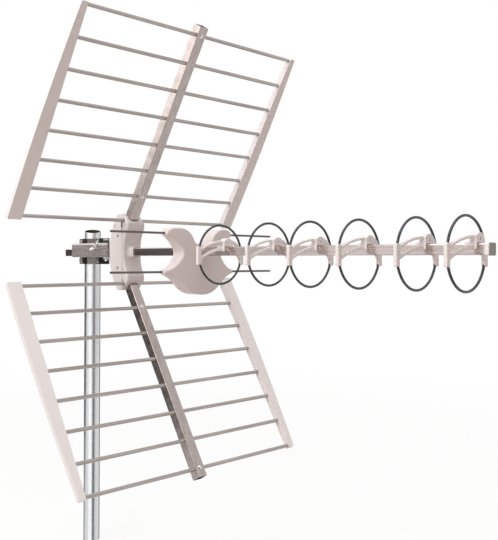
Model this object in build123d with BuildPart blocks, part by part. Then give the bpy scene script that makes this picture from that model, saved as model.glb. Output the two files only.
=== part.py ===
from build123d import *
import os
from math import cos, radians, sin, sqrt

os.makedirs("parts", exist_ok=True)

# An outdoor television antenna on its mast: a square boom carries six ring
# directors, a dipole in a moulded housing and a corner reflector of round rods.
# Millimetres. The origin is the middle of the mast's lower end, X runs forward
# along the boom to the transmitter, and Z is up.

# Driving dimensions: the mast and where the boom lies beside it
MAST_D = 35.0
MAST_WALL = 2.0
BOOM_HEIGHT = 632.0
MAST_ABOVE_BOOM = 47.0
MAST_SAW_LEAN = 14.0
MAST_SAW_TURN = -35.0
CORNER_AHEAD = 181.0

# Boom, a square aluminium tube. Lengths along it are measured from the corner,
# the line on which the two innermost reflector rods stand.
BOOM_W = 16.0
BOOM_WALL = 1.2
BOOM_CORNER = 1.5
BOOM_TAIL = 46.0
BOOM_NOSE = 37.0
PLUG_FLANGE = 1.6
PLUG_LENGTH = 12.0
COLLAR_LENGTH = 6.0
COLLAR_LAP = 0.6
CAP_LENGTH = 2.0
CAP_LAP = 0.8

# General clearances
SEAT = 0.2
ROD_SLIP = 0.1

# Corner reflector
LEAN = 30.8
ROD_D = 7.0
ROD_WALL = 1.0
ROD_PITCH = 56.0
ROD_COUNT = 8
ROD_LENGTH = 515.0
CORNER_RISE = 63.5
SPINE_W = 20.0
SPINE_WALL = 1.5
SPINE_CORNER = 1.5
SPINE_PROUD = 6.1
SPINE_BELOW = 48.0
SPINE_ABOVE = 17.0
RIVET_D = 4.0
RIVET_HEAD_D = 8.0
RIVET_HEAD_H = 1.6
RIVET_RODS = (1, 7)

# Side strips, moulded channels that close the ends of the rods
STRIP_PROUD = 6.0
STRIP_WALL = 2.0
STRIP_ROOT_WIDTH = 28.0
STRIP_TIP_WIDTH = 12.3
STRIP_BOW = 4.0
STRIP_BELOW = 5.2
STRIP_ABOVE = 5.2
STRIP_INNER_DEPTH = 12.5
STRIP_OUTER_DEPTH = 8.5
STRIP_CORNER = 2.5
STRIP_GRIP = 8.0
BOSS_WALL = 1.6
RIB_T = 1.6

# Support housing, two moulded shells that hold both spines on the boom
SUPPORT_HALF_WIDTH = 22.0
SUPPORT_WALL = 2.5
SUPPORT_REAR = 46.5
SUPPORT_SHOULDER = 31.0
SUPPORT_SHOULDER_HEIGHT = 62.0
SUPPORT_LIP_HEIGHT = 77.0
SUPPORT_LIP_REAR = 20.0
SUPPORT_LIP_FRONT = 6.0
SUPPORT_FRONT = 14.5
SUPPORT_FRONT_HALF = 48.0
SUPPORT_NOSE_HEIGHT = 58.0
SUPPORT_WAIST = 0.7
SUPPORT_SPLIT = -4.0
SUPPORT_RIBS = (14.0, 30.0, 50.0)
SUPPORT_COLLAR_FRONT = 17.0
SUPPORT_COLLAR_WALL = 2.0
SUPPORT_CORNER = 3.0
SUPPORT_EDGE = 1.5
LATCH_X = -6.0
LATCH_BOTTOM = 44.2
LATCH_TOP = 60.3
LATCH_WIDTH = 4.0
SIDE_HOLES = ((-1.0, -35.3), (-4.5, -56.4), (-27.5, 52.5))
SIDE_HOLE_D = 3.4

# Through screws that pin each spine in the support housing
PIN_D = 5.0
PIN_DOWN_SPINE = 36.2
PIN_HEAD_D = 8.0
PIN_HEAD_H = 2.6
PIN_RECESS = 5.0

# Self-tapping screws that close both housings
SCREW_D = 3.5
SCREW_HEAD_D = 6.6
SCREW_HEAD_H = 2.4
SCREW_LENGTH = 16.0
SCREW_BITE = 6.0
THREAD_GAP = 0.05
SCREW_BOSS_WALL = 1.8
SUPPORT_SCREW_Y = 15.5
SUPPORT_SCREW_Z = 44.0

# Dipole
DIPOLE_X = 198.0
DIPOLE_HALF = 197.0
DIPOLE_D = 4.0
DIPOLE_WALL = 0.8
DIPOLE_UP = 32.2
DIPOLE_DOWN = 37.4
DIPOLE_INNER = 52.0

# Dipole housing, crowned front and rear shells round the boom
CASE_WALL = 2.4
CASE_FRONT = 16.5
CASE_REAR = 18.0
CASE_TIP_FRONT = 6.0
CASE_TIP_REAR = 6.5
CASE_TIP = 86.0
CASE_BELLY = 79.5
CASE_BELLY_R = 64.0
CASE_HIP = 48.0
CASE_HOLLOW = 67.0
CASE_LIP = 1.4
CASE_LOBE = ((20.0, 16.5), (31.0, 34.0), (57.0, 42.5), (69.5, 41.5), (79.0, 37.5))
CASE_SCOOP = ((81.0, 29.5), (66.0, 21.5), (52.0, 8.0), (47.0, -2.6), (52.0, -14.0), (67.0, -28.0), (84.5, -34.0))
CASE_FOOT = ((86.0, -40.5), (66.0, -47.0))
CASE_SCREWS = ((38.0, 26.0), (28.0, -60.0))
BOARD_T = 1.6
BOARD_GAP = 0.6

# Aerial socket, on the rear of the dipole housing under the boom
SOCKET_DROP = 30.0
SOCKET_D = 9.4
SOCKET_LENGTH = 10.0
SOCKET_FLAT = 12.0
SOCKET_FLANGE = 2.0
SOCKET_BORE = 5.0
SOCKET_NECK_D = 8.0
SOCKET_PIN_D = 1.2

# Ring directors and the holders that carry them
RING_PLACES = (258.0, 377.0, 467.5, 563.5, 664.5, 742.5)
RING_R = 52.6
RING_D = 4.0
RING_DROP = 6.0
RING_SLIP = 0.1
GRIP_INNER = 47.8
GRIP_OUTER = 57.0
GRIP_LENGTH = 6.5
GRIP_TOP = 8.3
GRIP_BOTTOM = -24.5
CLIP_BACK = 2.0
CLIP_FRONT = 21.0
CLIP_WALL = 1.8
CLIP_TAB = 5.0
CLIP_TAB_PROUD = 1.2
CLIP_SEAT = 0.1
HOOD_BACK = 9.0
HOOD_SHOULDER = 19.0
HOOD_TOP = 23.0
HOOD_HOLE_D = 3.5
HOOD_HOLE_Z = 13.5
PEG_D = 3.2
PEG_LENGTH = 3.0
PEG_X = 6.0
UPPER_ARM_W = 7.0
UPPER_ARM_T = 4.4
UPPER_ARM_Z = (1.6, 12.9, 17.1)
LOWER_ARM_W = 5.0
LOWER_ARM_T = 5.2
LOWER_ARM_Z = (-13.0, -1.6, 5.0)
ARM_MIDDLE = 30.3

# Mast clamp
PLATE_T = 2.5
CRADLE_BACK = 19.0
CRADLE_FRONT = 111.0
CRADLE_HEAD = 11.5
CRADLE_FIT = 0.1
CRADLE_RIB_D = 2.4
CRADLE_RIBS = (-5.0, -0.5, 4.0, 8.5, 13.0)
CRADLE_RIB_AHEAD = 94.0
CRADLE_RIB_LENGTH = 14.0
BEND_R = 2.3
GRIP_CLEAR = 0.1
JAW_FLAT = 16.4
JAW_RISE = 13.75
EAR_END = 41.0
SADDLE_EAR_END = 39.0
SADDLE_END = 87.0
SADDLE_HEIGHT = 55.6
SADDLE_CENTRE = 2.7
JAW_HEIGHT = 50.0
BOLT_D = 6.0
BOLT_HOLE_D = 6.4
BOLT_AF = 10.0
BOLT_HEAD_H = 4.0
BOLT_SPREAD_X = 31.5
BOLT_SPREAD_Z = 20.0
BOLT_PAST_NUT = 3.0
NUT_H = 5.0
NUT_FLANGE_D = 13.0
NUT_FLANGE_H = 1.2
WING_AHEAD = 78.0
WING_RISE = 3.4
WING_SPAN = 32.0
WING_T = 3.0
WING_BODY_D = 12.0
WING_BODY_H = 8.0
WING_TURN = 27.0
WING_TIP_H = 13.0
WING_TAPER = 8.0
WING_CORNER = 1.5
WING_BOLT_HEAD_D = 13.0
WING_BOLT_HEAD_H = 3.5
LOCK_AHEAD = 92.0
SPACER_D = 12.0
SPACER_H = 5.5
SLIT_AHEAD = 36.0
SLIT_RISE = 3.0
SLIT_LENGTH = 6.0
SLIT_WIDTH = 2.0

# Worked out from the sizes above
SADDLE_NEAR = BOOM_W / 2 + PLATE_T
SADDLE_Y = SADDLE_NEAR + PLATE_T / 2
MAST_SIDE = SADDLE_NEAR + PLATE_T + GRIP_CLEAR + MAST_D / 2
EAR_Y = SADDLE_Y + JAW_RISE
BOOM_BACK = -CORNER_AHEAD - BOOM_TAIL
BOOM_END = RING_PLACES[-1] + BOOM_NOSE
BOOM_BORE = BOOM_W - 2 * BOOM_WALL
SIN_LEAN = sin(radians(LEAN))
COS_LEAN = cos(radians(LEAN))
SPINE_MID = SPINE_PROUD - SPINE_W / 2
SPINE_TOP = (ROD_COUNT - 1) * ROD_PITCH + SPINE_ABOVE
STRIP_TOP = (ROD_COUNT - 1) * ROD_PITCH + STRIP_ABOVE
STRIP_INNER = ROD_LENGTH / 2 - STRIP_GRIP
ROD_HOLE_D = ROD_D + 2 * ROD_SLIP
BOSS_D = ROD_HOLE_D + 2 * BOSS_WALL
PASSAGE = BOOM_W + 2 * SEAT
BOARD_X = DIPOLE_X - DIPOLE_D / 2 - BOARD_T
WING_Z = BOOM_W / 2 + WING_RISE
CRADLE_TOP = BOOM_W / 2 + CRADLE_HEAD
DOWN = Vector(0, 0, -1)
FORWARD = Vector(1, 0, 0)
AWAY = Vector(0, 1, 0)


def rig(x=0.0, y=0.0, z=0.0):
    """A point given from the boom's axis at the corner of the reflector."""
    return Vector(CORNER_AHEAD + x, y - MAST_SIDE, z + BOOM_HEIGHT)


def across(x, y=0.0, z=0.0):
    """Plane square to the boom: its x is the part's Y and its y is up."""
    return Plane(origin=rig(x, y, z), x_dir=(0, 1, 0), z_dir=(1, 0, 0))


def beside(x=0.0, y=0.0, z=0.0):
    """Upright plane along the boom: its x is forward and its y is up."""
    return Plane(origin=rig(x, y, z), x_dir=(1, 0, 0), z_dir=(0, -1, 0))


def above(x=0.0, y=0.0, z=0.0):
    """Level plane at a point given from the corner."""
    return Plane(origin=rig(x, y, z))


def panel(side, s=0.0, y=0.0, n=0.0):
    """Point s up a reflector panel and n in front of its rods; side is 1 or -1."""
    x = s * SIN_LEAN + n * COS_LEAN
    return rig(x, y, side * (CORNER_RISE + s * COS_LEAN - n * SIN_LEAN))


def up_panel(side):
    """Direction out from the boom along a panel."""
    return Vector(SIN_LEAN, 0, side * COS_LEAN)


def off_panel(side):
    """Direction square to a panel, on its front."""
    return Vector(COS_LEAN, 0, -side * SIN_LEAN)


def panel_face(side, n=0.0):
    """Plane parallel to a panel: its x runs up the panel and its y is the part's Y."""
    return Plane(origin=panel(side, 0, 0, n), x_dir=up_panel(side), z_dir=up_panel(side).cross(AWAY))


def rod_axis(side, s, y=0.0):
    """Plane square to the reflector rods at one rod."""
    return Plane(origin=panel(side, s, y), x_dir=up_panel(side), z_dir=AWAY)


def save(part, name):
    """Label a finished piece and write it."""
    part.label = name
    export_step(part, f"parts/{name}.step")


# Mast: galvanised steel tube, its top sawn a little off square
with BuildPart() as mast:
    with BuildSketch():
        Circle(MAST_D / 2)
        Circle(MAST_D / 2 - MAST_WALL, mode=Mode.SUBTRACT)
    extrude(amount=BOOM_HEIGHT + MAST_ABOVE_BOOM + MAST_D)
    saw_lean = Vector(0, sin(radians(MAST_SAW_LEAN)), 0).rotate(Axis.Z, MAST_SAW_TURN - 90)
    saw_cut = Plane(
        origin=(0, 0, BOOM_HEIGHT + MAST_ABOVE_BOOM),
        z_dir=saw_lean + Vector(0, 0, cos(radians(MAST_SAW_LEAN))),
    )
    split(bisect_by=saw_cut, keep=Keep.BOTTOM)
save(mast.part, "mast")

# Boom: square tube with a peg hole for each ring holder and the lock bolt's hole
LOCK_X = -CORNER_AHEAD + LOCK_AHEAD
with BuildPart() as boom:
    with BuildSketch(across(BOOM_BACK)):
        RectangleRounded(BOOM_W, BOOM_W, BOOM_CORNER)
        RectangleRounded(BOOM_BORE, BOOM_BORE, BOOM_CORNER / 3, mode=Mode.SUBTRACT)
    extrude(amount=BOOM_END - BOOM_BACK)
    with BuildSketch(above(0, 0, BOOM_W / 2)):
        with Locations([(x + PEG_X, 0) for x in RING_PLACES]):
            Circle(PEG_D / 2 + SEAT)
    extrude(amount=2 * BOOM_WALL, dir=DOWN, mode=Mode.SUBTRACT)
    with BuildSketch(above(LOCK_X)):
        Circle(BOLT_HOLE_D / 2)
    extrude(amount=BOOM_W, both=True, mode=Mode.SUBTRACT)
save(boom.part, "boom")

# Plug in the tail of the boom, with a shallow square well in its face
with BuildPart() as tail_plug:
    with BuildSketch(across(BOOM_BACK)):
        RectangleRounded(BOOM_W, BOOM_W, BOOM_CORNER)
    extrude(amount=-PLUG_FLANGE)
    with BuildSketch(across(BOOM_BACK)):
        RectangleRounded(BOOM_BORE - 2 * SEAT, BOOM_BORE - 2 * SEAT, BOOM_CORNER / 3)
        Rectangle(BOOM_BORE / 2, BOOM_BORE / 2, mode=Mode.SUBTRACT)
    extrude(amount=PLUG_LENGTH)
    with BuildSketch(across(BOOM_BACK - PLUG_FLANGE)):
        Rectangle(BOOM_BORE / 2, BOOM_BORE / 2)
    extrude(amount=PLUG_FLANGE / 2, mode=Mode.SUBTRACT)
save(tail_plug.part, "boom_rear_plug")

# Collar round the nose of the boom
with BuildPart() as nose_collar:
    with BuildSketch(across(BOOM_END - COLLAR_LENGTH)):
        RectangleRounded(PASSAGE + 2 * COLLAR_LAP, PASSAGE + 2 * COLLAR_LAP, BOOM_CORNER + COLLAR_LAP)
        RectangleRounded(PASSAGE, PASSAGE, BOOM_CORNER, mode=Mode.SUBTRACT)
    extrude(amount=COLLAR_LENGTH)
save(nose_collar.part, "front_collar")

# Cap in the nose of the boom
CAP_W = BOOM_W + 2 * CAP_LAP
with BuildPart() as nose_cap:
    with BuildSketch(across(BOOM_END)):
        RectangleRounded(CAP_W, CAP_W, BOOM_CORNER + CAP_LAP)
    extrude(amount=CAP_LENGTH)
    chamfer(nose_cap.faces().sort_by(Axis.X)[-1].edges(), length=CAP_LENGTH / 4)
    with BuildSketch(across(BOOM_END)):
        RectangleRounded(BOOM_BORE - 2 * SEAT, BOOM_BORE - 2 * SEAT, BOOM_CORNER / 3)
        Rectangle(BOOM_BORE / 2, BOOM_BORE / 2, mode=Mode.SUBTRACT)
    extrude(amount=-PLUG_LENGTH)
save(nose_cap.part, "boom_front_cap")


def spine(side):
    """Square tube that carries the rods of one panel, bored for each of them."""
    with BuildPart() as tube:
        start = Plane(
            origin=panel(side, -SPINE_BELOW, 0, SPINE_MID), x_dir=AWAY, z_dir=up_panel(side)
        )
        with BuildSketch(start):
            RectangleRounded(SPINE_W, SPINE_W, SPINE_CORNER)
            bore = SPINE_W - 2 * SPINE_WALL
            RectangleRounded(bore, bore, SPINE_CORNER / 3, mode=Mode.SUBTRACT)
        extrude(amount=SPINE_BELOW + SPINE_TOP)
        with BuildSketch(rod_axis(side, 0)):
            with Locations([(i * ROD_PITCH, 0) for i in range(ROD_COUNT)]):
                Circle(ROD_HOLE_D / 2)
        extrude(amount=SPINE_W, both=True, mode=Mode.SUBTRACT)
        with BuildSketch(rod_axis(side, -PIN_DOWN_SPINE)):
            Circle(PIN_D / 2 + SEAT)
        extrude(amount=SPINE_W, both=True, mode=Mode.SUBTRACT)
        with BuildSketch(panel_face(side, SPINE_PROUD)):
            with Locations([(i * ROD_PITCH, 0) for i in RIVET_RODS]):
                Circle(RIVET_D / 2 + ROD_SLIP)
        extrude(amount=2 * SPINE_WALL, dir=-off_panel(side), mode=Mode.SUBTRACT)
    return tube.part


def reflector_rod(side, index):
    """Round tube across a panel; a riveted one has the rivet's hole in its middle."""
    s = index * ROD_PITCH
    with BuildPart() as tube:
        with BuildSketch(rod_axis(side, s, -ROD_LENGTH / 2)):
            Circle(ROD_D / 2)
            Circle(ROD_D / 2 - ROD_WALL, mode=Mode.SUBTRACT)
        extrude(amount=ROD_LENGTH)
        if index in RIVET_RODS:
            with BuildSketch(panel_face(side, ROD_D / 2)):
                with Locations((s, 0)):
                    Circle(RIVET_D / 2 + ROD_SLIP)
            extrude(amount=2 * ROD_WALL, dir=-off_panel(side), mode=Mode.SUBTRACT)
    return tube.part


def strip_outline(hand, inset=0.0):
    """Outline of a side strip: x runs up the panel and y is the part's Y."""
    inner = hand * STRIP_INNER
    root = inner + hand * STRIP_ROOT_WIDTH
    tip = inner + hand * STRIP_TIP_WIDTH
    middle = ((STRIP_TOP - STRIP_BELOW) / 2, (root + tip) / 2 + hand * STRIP_BOW)
    with BuildSketch() as outline:
        with BuildLine():
            Line((-STRIP_BELOW, inner), (STRIP_TOP, inner))
            Line((STRIP_TOP, inner), (STRIP_TOP, tip))
            ThreePointArc((STRIP_TOP, tip), middle, (-STRIP_BELOW, root))
            Line((-STRIP_BELOW, root), (-STRIP_BELOW, inner))
        make_face()
        fillet(outline.vertices(), radius=STRIP_CORNER)
        if inset:
            offset(amount=-inset)
    return outline.sketch


def side_strip(side, hand):
    """Channel along the rods' ends, open to the rear, with a socket for each rod."""
    back = -off_panel(side)
    outward = hand * AWAY
    rods = [(i * ROD_PITCH, 0) for i in range(ROD_COUNT)]
    rod_end = ROD_LENGTH / 2 + 2 * SEAT
    under_web = STRIP_PROUD - STRIP_WALL
    with BuildPart() as strip:
        with BuildSketch(panel_face(side, STRIP_PROUD)):
            add(strip_outline(hand))
        extrude(amount=STRIP_INNER_DEPTH, dir=back)
        with BuildSketch(panel_face(side, under_web)):
            add(strip_outline(hand, STRIP_WALL))
        extrude(amount=STRIP_INNER_DEPTH, dir=back, mode=Mode.SUBTRACT)
        with BuildSketch(panel_face(side, STRIP_PROUD - STRIP_OUTER_DEPTH)):
            add(strip_outline(hand))
            with Locations((STRIP_TOP / 2, hand * STRIP_INNER)):
                Rectangle(2 * STRIP_TOP, 2 * STRIP_WALL, mode=Mode.SUBTRACT)
        extrude(amount=STRIP_INNER_DEPTH, dir=back, mode=Mode.SUBTRACT)
        with BuildSketch(rod_axis(side, 0, hand * (STRIP_INNER + STRIP_WALL / 2))):
            with Locations(rods):
                Circle(BOSS_D / 2)
        extrude(amount=rod_end + STRIP_WALL / 2 - STRIP_INNER, dir=outward)
        with BuildSketch(panel_face(side, under_web)):
            with Locations([(x, hand * (STRIP_INNER + STRIP_ROOT_WIDTH / 2)) for x, _ in rods]):
                Rectangle(RIB_T, STRIP_ROOT_WIDTH)
            add(strip_outline(hand, STRIP_WALL / 2), mode=Mode.INTERSECT)
        extrude(amount=STRIP_OUTER_DEPTH - 2 * STRIP_WALL, dir=back)
        with BuildSketch(rod_axis(side, 0, hand * (STRIP_INNER - STRIP_WALL))):
            with Locations(rods):
                Circle(ROD_HOLE_D / 2)
        extrude(amount=rod_end - STRIP_INNER + STRIP_WALL, dir=outward, mode=Mode.SUBTRACT)
    return strip.part


for panel_name, panel_side in (("upper", 1), ("lower", -1)):
    save(spine(panel_side), f"{panel_name}_spine")
    for rod_index in range(ROD_COUNT):
        save(reflector_rod(panel_side, rod_index), f"{panel_name}_rod_{rod_index + 1}")
    for hand_name, strip_hand in (("near", -1), ("far", 1)):
        save(side_strip(panel_side, strip_hand), f"{panel_name}_strip_{hand_name}")

# Blind rivets with domed heads, through the front of each spine into a rod
RIVET_SHANK = SPINE_PROUD - ROD_D / 2 + 1.5 * ROD_WALL
DOME_R = (RIVET_HEAD_D ** 2 / 4 + RIVET_HEAD_H ** 2) / (2 * RIVET_HEAD_H)
DOME_SHOULDER = sqrt(DOME_R ** 2 - RIVET_HEAD_D ** 2 / 16) - DOME_R + RIVET_HEAD_H
with BuildPart() as rivets:
    for panel_side in (1, -1):
        forward = off_panel(panel_side)
        for rod_index in RIVET_RODS:
            seat = panel(panel_side, rod_index * ROD_PITCH, 0, SPINE_PROUD)
            with BuildSketch(Plane(origin=seat, x_dir=AWAY, z_dir=AWAY.cross(forward))):
                with BuildLine():
                    ThreePointArc((0, RIVET_HEAD_H), (RIVET_HEAD_D / 4, DOME_SHOULDER), (RIVET_HEAD_D / 2, 0))
                    Polyline(
                        (RIVET_HEAD_D / 2, 0),
                        (RIVET_D / 2, 0),
                        (RIVET_D / 2, -RIVET_SHANK),
                        (0, -RIVET_SHANK),
                        (0, RIVET_HEAD_H),
                    )
                make_face()
            revolve(axis=Axis(seat, forward))
save(rivets.part, "spine_rivets")


# Places of the self-tapping screws, as points with the direction each one drives
support_screws = [
    (rig(SUPPORT_SPLIT - SCREW_LENGTH + SCREW_BITE, y, z), FORWARD)
    for y in (-SUPPORT_SCREW_Y, SUPPORT_SCREW_Y)
    for z in (-SUPPORT_SCREW_Z, SUPPORT_SCREW_Z)
]
case_screws = [
    (rig(DIPOLE_X - SCREW_LENGTH + SCREW_BITE, hand * y, z), FORWARD)
    for hand in (-1, 1)
    for y, z in CASE_SCREWS
]
spine_screws = [
    (panel(side, -PIN_DOWN_SPINE, hand * (SUPPORT_HALF_WIDTH - PIN_RECESS)), -hand * AWAY)
    for side in (1, -1)
    for hand in (-1, 1)
]
SCREW_BOSS_D = SCREW_D + 2 * SCREW_BOSS_WALL
SCREW_WELL_D = SCREW_HEAD_D + 2 * SEAT


def screw_cutter(places):
    """Shank holes and head wells for a group of self-tapping screws."""
    with BuildPart() as cutter:
        for seat, drive in places:
            with BuildSketch(Plane(origin=seat, z_dir=drive)):
                Circle(SCREW_D / 2 + THREAD_GAP)
            extrude(amount=SCREW_LENGTH + SEAT)
            with BuildSketch(Plane(origin=seat, z_dir=drive)):
                Circle(SCREW_WELL_D / 2)
            extrude(amount=-2 * SCREW_LENGTH)
    return cutter.part


def support_outline(inset=0.0):
    """Crescent outline of the support housing: x forward and y up."""
    with BuildSketch() as outline:
        with BuildLine():
            ThreePointArc(
                (-SUPPORT_SHOULDER, -SUPPORT_SHOULDER_HEIGHT),
                (-SUPPORT_REAR, 0),
                (-SUPPORT_SHOULDER, SUPPORT_SHOULDER_HEIGHT),
            )
            ThreePointArc(
                (SUPPORT_FRONT, SUPPORT_FRONT_HALF),
                (SUPPORT_WAIST, 0),
                (SUPPORT_FRONT, -SUPPORT_FRONT_HALF),
            )
            for side in (1, -1):
                Polyline(
                    (-SUPPORT_SHOULDER, side * SUPPORT_SHOULDER_HEIGHT),
                    (-SUPPORT_LIP_REAR, side * SUPPORT_LIP_HEIGHT),
                    (-SUPPORT_LIP_FRONT, side * SUPPORT_LIP_HEIGHT),
                    (SUPPORT_FRONT, side * SUPPORT_NOSE_HEIGHT),
                    (SUPPORT_FRONT, side * SUPPORT_FRONT_HALF),
                )
        make_face()
        if inset:
            offset(amount=-inset)
        else:
            fillet(outline.vertices(), radius=SUPPORT_CORNER)
    return outline.sketch


def support_hollow():
    """Space inside the support housing, with its ribs and screw bosses left standing."""
    sleeve = PASSAGE + 2 * SUPPORT_WALL
    with BuildPart() as hollow:
        with BuildSketch(beside()):
            add(support_outline(SUPPORT_WALL))
            with Locations([(0, side * z) for z in SUPPORT_RIBS for side in (1, -1)]):
                Rectangle(4 * SUPPORT_REAR, RIB_T, mode=Mode.SUBTRACT)
            Rectangle(4 * SUPPORT_REAR, sleeve, mode=Mode.SUBTRACT)
        extrude(amount=SUPPORT_HALF_WIDTH - SUPPORT_WALL, both=True)
        with BuildSketch(across(-SUPPORT_REAR)):
            with GridLocations(2 * SUPPORT_SCREW_Y, 2 * SUPPORT_SCREW_Z, 2, 2):
                Circle(SCREW_BOSS_D / 2)
        extrude(amount=SUPPORT_REAR + SUPPORT_FRONT, mode=Mode.SUBTRACT)
        with BuildSketch(across(-SUPPORT_REAR)):
            with GridLocations(2 * SUPPORT_SCREW_Y, 2 * SUPPORT_SCREW_Z, 2, 2):
                Circle(SCREW_WELL_D / 2 + SCREW_BOSS_WALL)
        extrude(amount=SUPPORT_REAR + SUPPORT_SPLIT, mode=Mode.SUBTRACT)
        for side in (1, -1):
            with BuildSketch(rod_axis(side, -PIN_DOWN_SPINE)):
                Circle(SCREW_WELL_D / 2 + SCREW_BOSS_WALL)
            extrude(amount=SUPPORT_HALF_WIDTH, both=True, mode=Mode.SUBTRACT)
    return hollow.part


def support_shell(keep):
    """One half of the support housing, parted square to the boom."""
    with BuildPart() as shell:
        with BuildSketch(beside()):
            add(support_outline())
        extrude(amount=SUPPORT_HALF_WIDTH, both=True)
        fillet(shell.faces().filter_by(Axis.Y).edges(), radius=SUPPORT_EDGE)
        with BuildSketch(across(SUPPORT_SPLIT)):
            collar = PASSAGE + 2 * SUPPORT_COLLAR_WALL
            RectangleRounded(collar, collar, BOOM_CORNER + SUPPORT_COLLAR_WALL)
        extrude(amount=SUPPORT_COLLAR_FRONT - SUPPORT_SPLIT)
        add(support_hollow(), mode=Mode.SUBTRACT)
        with BuildSketch(across(-2 * SUPPORT_REAR)):
            RectangleRounded(PASSAGE, PASSAGE, BOOM_CORNER)
        extrude(amount=4 * SUPPORT_REAR, mode=Mode.SUBTRACT)
        for side in (1, -1):
            foot = panel(side, -SPINE_BELOW - SEAT, 0, SPINE_MID)
            with BuildSketch(Plane(origin=foot, x_dir=AWAY, z_dir=up_panel(side))):
                Rectangle(SPINE_W + 2 * SEAT, SPINE_W + 2 * SEAT)
            extrude(amount=2 * SUPPORT_LIP_HEIGHT, mode=Mode.SUBTRACT)
            with BuildSketch(rod_axis(side, 0)):
                Circle(ROD_HOLE_D / 2)
            extrude(amount=2 * SUPPORT_HALF_WIDTH, both=True, mode=Mode.SUBTRACT)
        for hand in (1, -1):
            with BuildSketch(beside(0, hand * SUPPORT_HALF_WIDTH)):
                with Locations((LATCH_X, (LATCH_TOP + LATCH_BOTTOM) / 2)):
                    Rectangle(LATCH_WIDTH, LATCH_TOP - LATCH_BOTTOM)
                with Locations(SIDE_HOLES):
                    Circle(SIDE_HOLE_D / 2)
            extrude(amount=SUPPORT_WALL + SEAT, dir=-hand * AWAY, mode=Mode.SUBTRACT)
        add(screw_cutter(support_screws + spine_screws), mode=Mode.SUBTRACT)
        split(bisect_by=across(SUPPORT_SPLIT), keep=keep)
    return shell.part


save(support_shell(Keep.TOP), "support_front_shell")
save(support_shell(Keep.BOTTOM), "support_rear_shell")


def arcs(points):
    """Arcs end to end, each through the next three of a line of points."""
    for start, middle, end in zip(points[::2], points[1::2], points[2::2]):
        ThreePointArc(start, middle, end)


def case_outline(inset=0.0):
    """Outline of the dipole housing from the front: x across and y up."""
    notch = PASSAGE / 2
    belly_rise = CASE_BELLY_R - CASE_BELLY
    belly_y = belly_rise - sqrt(CASE_BELLY_R ** 2 - CASE_HIP ** 2)
    belly_mid = belly_rise - sqrt(CASE_BELLY_R ** 2 - (CASE_HIP / 2) ** 2)
    with BuildSketch() as outline:
        with BuildLine():
            Polyline(
                (0, -notch),
                (notch, -notch),
                (notch, notch),
                (notch - CASE_LIP, notch + CASE_LIP),
                (notch + CASE_LIP, notch + 3 * CASE_LIP),
                CASE_LOBE[0],
            )
            arcs(CASE_LOBE)
            Line(CASE_LOBE[-1], CASE_SCOOP[0])
            arcs(CASE_SCOOP)
            Line(CASE_SCOOP[-1], CASE_FOOT[0])
            arcs((*CASE_FOOT, (CASE_HIP, belly_y), (CASE_HIP / 2, belly_mid), (0, -CASE_BELLY)))
            mirror(about=Plane.YZ)
        make_face()
        if inset:
            offset(amount=-inset)
    return outline.sketch


def case_crown(inset=0.0):
    """Section of the dipole housing seen from above: x forward and y across."""
    with BuildSketch() as crown:
        with BuildLine():
            ThreePointArc((CASE_TIP_FRONT, -CASE_TIP), (CASE_FRONT, 0), (CASE_TIP_FRONT, CASE_TIP))
            ThreePointArc((-CASE_TIP_REAR, -CASE_TIP), (-CASE_REAR, 0), (-CASE_TIP_REAR, CASE_TIP))
            for hand in (1, -1):
                Line((CASE_TIP_FRONT, hand * CASE_TIP), (-CASE_TIP_REAR, hand * CASE_TIP))
        make_face()
        if inset:
            offset(amount=-inset)
    return crown.sketch


def case_hollow():
    """Space inside the dipole housing, with its screw bosses left standing."""
    with BuildPart() as hollow:
        with BuildSketch(across(DIPOLE_X)):
            add(case_outline(CASE_WALL))
            Rectangle(2 * CASE_HOLLOW, 4 * CASE_BELLY, mode=Mode.INTERSECT)
        extrude(amount=CASE_REAR, both=True)
        with BuildSketch(above(DIPOLE_X)):
            add(case_crown(CASE_WALL))
        extrude(amount=2 * CASE_BELLY, both=True, mode=Mode.INTERSECT)
        screws = [(hand * y, z) for hand in (-1, 1) for y, z in CASE_SCREWS]
        with BuildSketch(across(DIPOLE_X)):
            with Locations(screws):
                Circle(SCREW_BOSS_D / 2)
        extrude(amount=CASE_REAR, both=True, mode=Mode.SUBTRACT)
        with BuildSketch(across(BOARD_X)):
            with Locations(screws):
                Circle(SCREW_WELL_D / 2 + SCREW_BOSS_WALL)
        extrude(amount=-CASE_REAR, mode=Mode.SUBTRACT)
    return hollow.part


def case_shell(keep):
    """One half of the dipole housing, parted through the dipole rods."""
    with BuildPart() as shell:
        with BuildSketch(across(DIPOLE_X)):
            add(case_outline())
        extrude(amount=2 * CASE_REAR, both=True)
        with BuildSketch(above(DIPOLE_X)):
            add(case_crown())
        extrude(amount=2 * CASE_BELLY, both=True, mode=Mode.INTERSECT)
        add(case_hollow(), mode=Mode.SUBTRACT)
        for z in (DIPOLE_UP, -DIPOLE_DOWN):
            for hand in (1, -1):
                with BuildSketch(beside(DIPOLE_X, hand * (CASE_HOLLOW - CASE_WALL), z)):
                    Circle(DIPOLE_D / 2 + ROD_SLIP)
                extrude(amount=CASE_TIP, dir=hand * AWAY, mode=Mode.SUBTRACT)
        with BuildSketch(across(DIPOLE_X, 0, -SOCKET_DROP)):
            Circle(SOCKET_NECK_D / 2 + SEAT)
        extrude(amount=-2 * CASE_REAR, mode=Mode.SUBTRACT)
        add(screw_cutter(case_screws), mode=Mode.SUBTRACT)
        split(bisect_by=across(DIPOLE_X), keep=keep)
    return shell.part


save(case_shell(Keep.TOP), "dipole_front_shell")
save(case_shell(Keep.BOTTOM), "dipole_rear_shell")

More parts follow.
